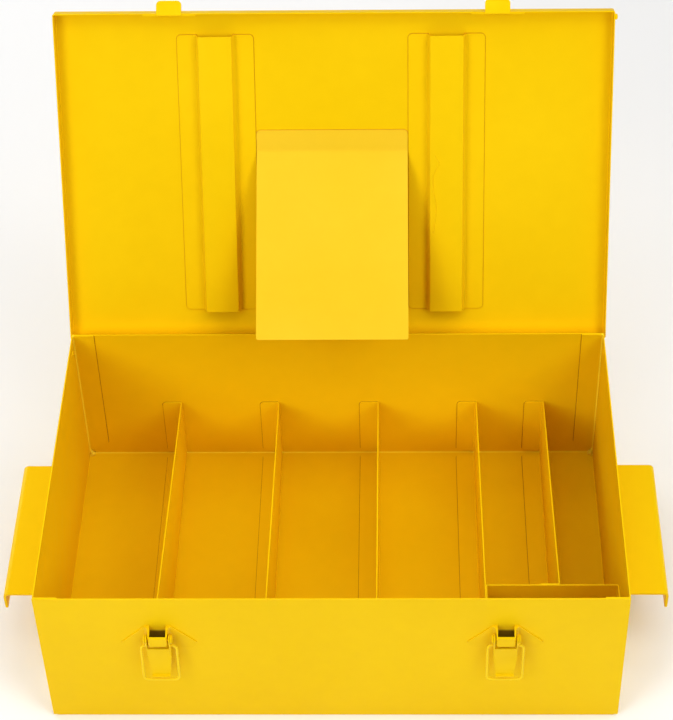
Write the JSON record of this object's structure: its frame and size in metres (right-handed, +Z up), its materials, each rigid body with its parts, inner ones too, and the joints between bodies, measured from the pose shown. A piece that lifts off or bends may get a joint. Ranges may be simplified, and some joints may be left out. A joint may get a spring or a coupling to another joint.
{
  "type": "tool case",
  "caption": "Open folded-steel tool case with a divided tub, hinged pan lid with stiffening channels and a holder plate, flat bent side handles, draw latches and catches.",
  "frame": {"origin": "middle of the tub's underside, on the surface the case stands on", "axes": "+X to the right along the case's width as seen from the latches, +Y from the latches to the hinge, +Z up from the underside"},
  "size_m": [0.6654, 0.521, 0.5048],
  "materials": {
    "enamel_case": "semi-gloss yellow sprayed enamel on the folded case sheet",
    "enamel_inside": "semi-gloss yellow sprayed enamel on the welded inner plates",
    "enamel_fittings": "semi-gloss yellow sprayed enamel over the latches, catches and hinge pin"
  },
  "bodies": {
    "case": {"body_tub": "enamel_case", "divider_1": "enamel_inside", "divider_2": "enamel_inside", "divider_3": "enamel_inside", "divider_4": "enamel_inside", "divider_5": "enamel_inside", "cross_divider": "enamel_inside", "handle_left": "enamel_case", "handle_right": "enamel_case", "latch_base_left": "enamel_fittings", "latch_base_right": "enamel_fittings", "latch_pin_left": "enamel_fittings", "latch_pin_right": "enamel_fittings", "hinge_body_leaf": "enamel_case", "hinge_pin": "enamel_fittings"},
    "lid": {"lid_pan": "enamel_case", "hinge_lid_leaf": "enamel_case", "lid_channel_left": "enamel_inside", "lid_channel_right": "enamel_inside", "holder_plate": "enamel_inside", "catch_left": "enamel_fittings", "catch_right": "enamel_fittings"},
    "lever_left": {"latch_lever_left": "enamel_fittings"},
    "lever_right": {"latch_lever_right": "enamel_fittings"},
    "bail_left": {"latch_bail_left": "enamel_fittings"},
    "bail_right": {"latch_bail_right": "enamel_fittings"}
  },
  "joints": [
    {"name": "lid_hinge", "type": "hinge", "parent": "case", "child": "lid", "pos_m": [0, 0.1764, 0.1738], "axis": [1, 0, 0], "range_deg": [0, 114.3]},
    {"name": "lever_left_hinge", "type": "hinge", "parent": "case", "child": "lever_left", "pos_m": [-0.165, -0.1817, 0.1367], "axis": [-1, 0, 0], "range_deg": [0, 166]},
    {"name": "lever_right_hinge", "type": "hinge", "parent": "case", "child": "lever_right", "pos_m": [0.165, -0.1817, 0.1367], "axis": [-1, 0, 0], "range_deg": [0, 166]},
    {"name": "bail_left_hinge", "type": "hinge", "parent": "lever_left", "child": "bail_left", "pos_m": [-0.165, -0.1815, 0.1267], "axis": [-1, 0, 0], "range_deg": [-4, 179.9]},
    {"name": "bail_right_hinge", "type": "hinge", "parent": "lever_right", "child": "bail_right", "pos_m": [0.165, -0.1815, 0.1267], "axis": [-1, 0, 0], "range_deg": [-4, 179.9]}
  ]
}
